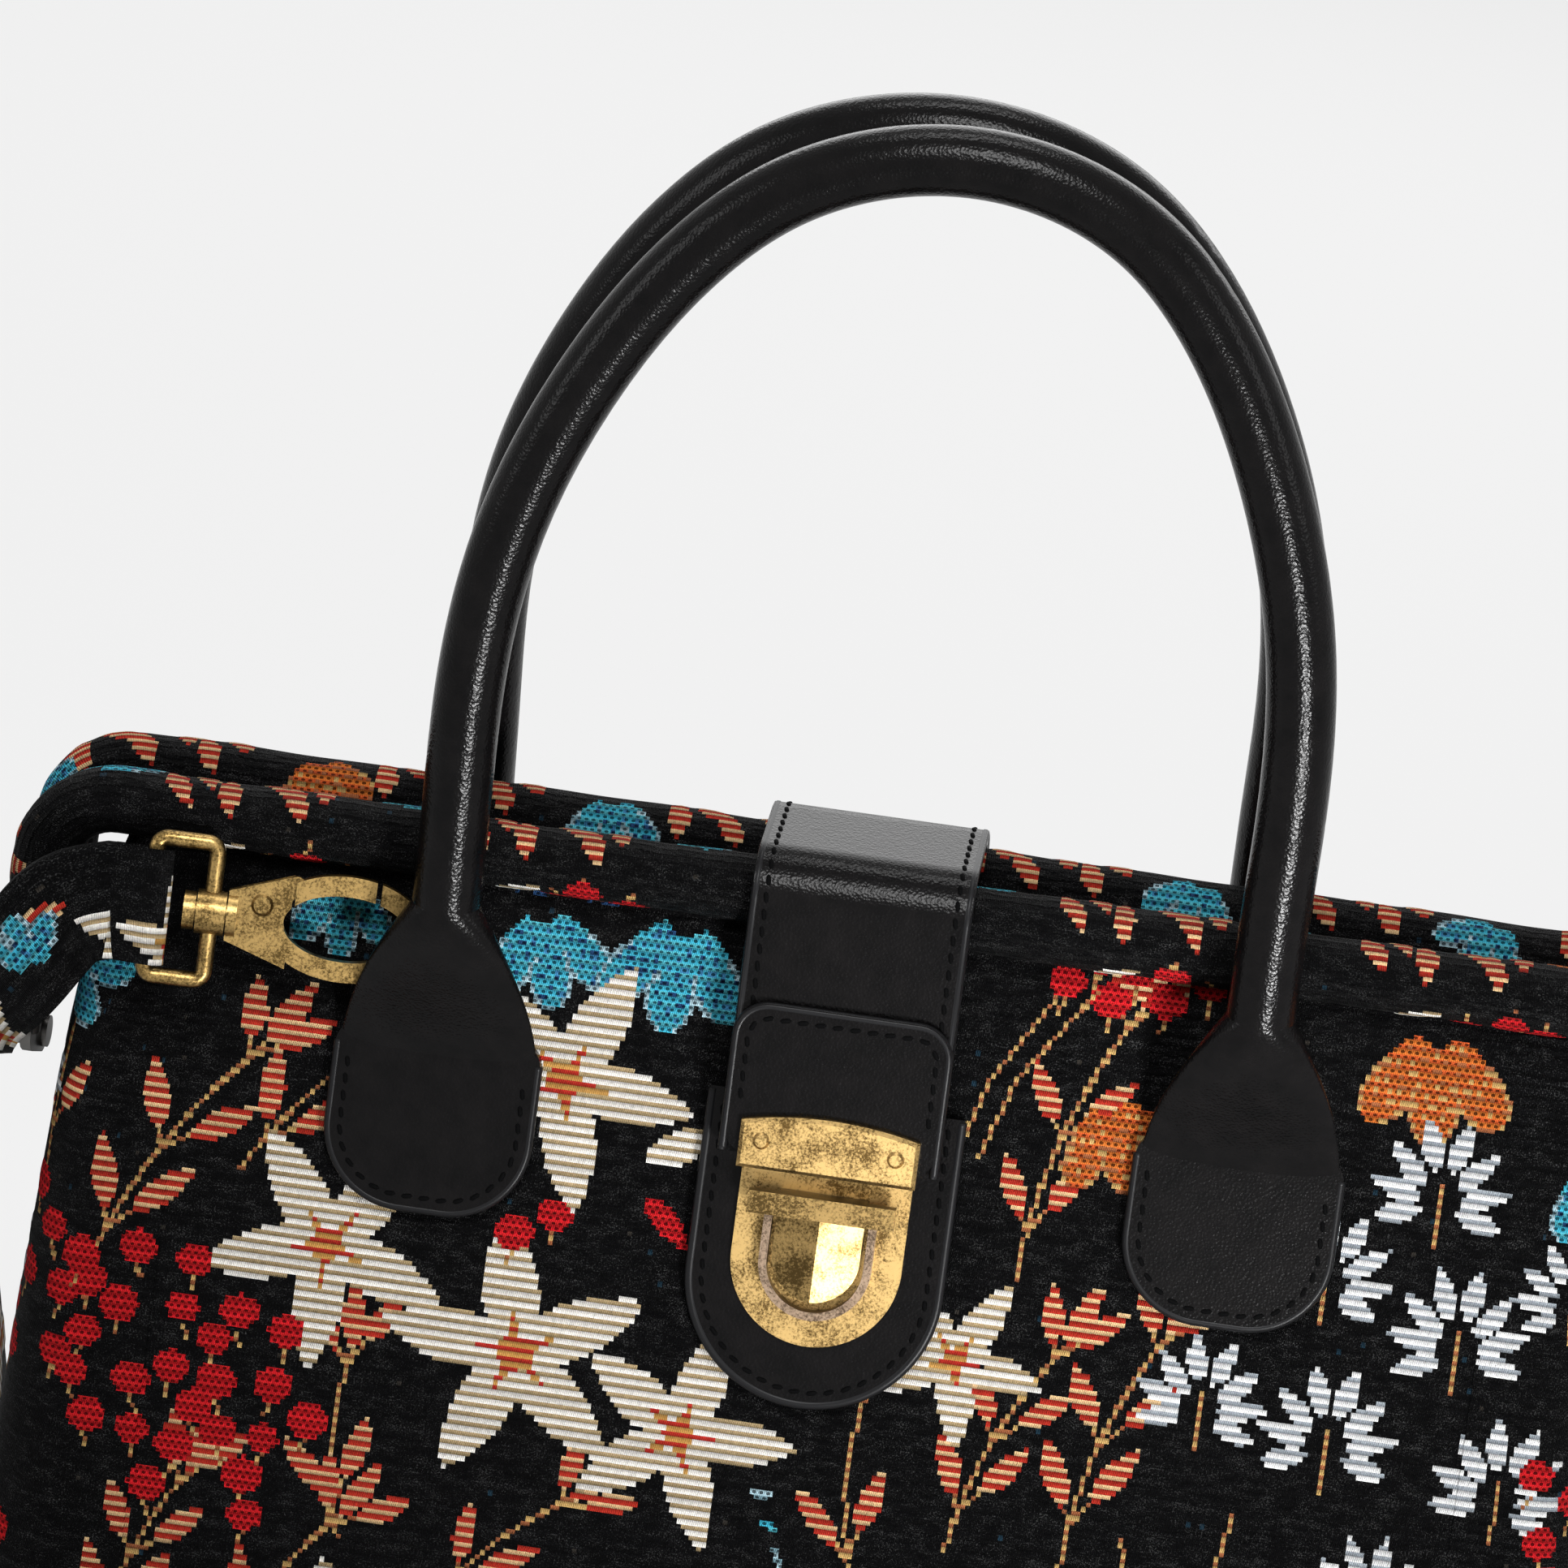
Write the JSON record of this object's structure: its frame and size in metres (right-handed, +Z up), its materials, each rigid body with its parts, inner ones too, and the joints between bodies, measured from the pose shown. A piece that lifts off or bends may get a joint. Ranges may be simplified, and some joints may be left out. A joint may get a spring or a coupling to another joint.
{
  "type": "carpet bag",
  "caption": "Cloth carpet bag with a hinged tubular mouth, rolled leather handles, a strap closed by a thumb lock and a clip-on shoulder strap.",
  "frame": {"origin": "centre of the base on the surface the bag stands on", "axes": "+Z up, front with the lock towards -Y, +X to the right seen from the front"},
  "size_m": [0.3868, 0.2041, 0.4004],
  "materials": {
    "tapestry": "woven chenille with floral figures",
    "leather": "black, fine grain, satin",
    "brass": "antique, rubbed bright on the edges",
    "steel": "plain",
    "board": "plain"
  },
  "bodies": {
    "bag": {"front_panel": "tapestry", "back_panel": "tapestry", "left_gusset": "tapestry", "right_gusset": "tapestry", "bottom_panel": "tapestry", "front_binding": "tapestry", "back_binding": "tapestry", "shoulder_strap": "tapestry", "front_handle": "leather", "back_handle": "leather", "strap_anchor": "leather", "lock_tab": "leather", "left_ring_chape": "leather", "right_ring_chape": "leather", "lock_plate": "brass", "lock_rim": "brass", "left_hook": "brass", "right_hook": "brass", "left_gate_pin": "brass", "right_gate_pin": "brass", "left_anchor_ring": "brass", "right_anchor_ring": "brass", "front_frame": "steel", "back_frame": "steel", "hinge_rivets": "steel", "lock_back_plate": "steel", "base_board": "board"},
    "closure_flap": {"closure_strap": "leather", "strap_overlay": "leather", "hasp_plate": "brass", "hasp_rivets": "brass"},
    "thumb_piece": {"lock_thumb": "brass"},
    "left_gate": {"left_hook_gate": "brass"},
    "right_gate": {"right_hook_gate": "brass"},
    "left_swivel": {"left_swivel_ring": "brass", "left_strap_loop": "tapestry"},
    "right_swivel": {"right_swivel_ring": "brass", "right_strap_loop": "tapestry"}
  },
  "joints": [
    {"name": "closure_strap_swing", "type": "hinge", "parent": "bag", "child": "closure_flap", "pos_m": [0, 0.0194, 0.2298], "axis": [-1, 0, 0], "range_deg": [0, 100]},
    {"name": "lock_thumb_slide", "type": "slide", "parent": "bag", "child": "thumb_piece", "axis": [0, -0.2929, -0.9562], "range_m": [0, 0.002], "stiffness_N_per_m": 400},
    {"name": "left_gate_swing", "type": "hinge", "parent": "bag", "child": "left_gate", "pos_m": [-0.12257, -0.02261, 0.21645], "axis": [-0.1392, 0.9468, -0.29], "range_deg": [0, 15], "stiffness_Nm_per_rad": 0.05},
    {"name": "right_gate_swing", "type": "hinge", "parent": "bag", "child": "right_gate", "pos_m": [0.12257, 0.02261, 0.21645], "axis": [0.1392, -0.9468, -0.29], "range_deg": [0, 15], "stiffness_Nm_per_rad": 0.05},
    {"name": "left_ring_swivel", "type": "hinge", "parent": "bag", "child": "left_swivel", "pos_m": [-0.1295, -0.02441, 0.21386], "axis": [0.9903, 0.1331, -0.0408], "range_deg": [-8, 25]},
    {"name": "right_ring_swivel", "type": "hinge", "parent": "bag", "child": "right_swivel", "pos_m": [0.1295, 0.02441, 0.21386], "axis": [-0.9903, -0.1331, -0.0408], "range_deg": [-8, 25]}
  ]
}
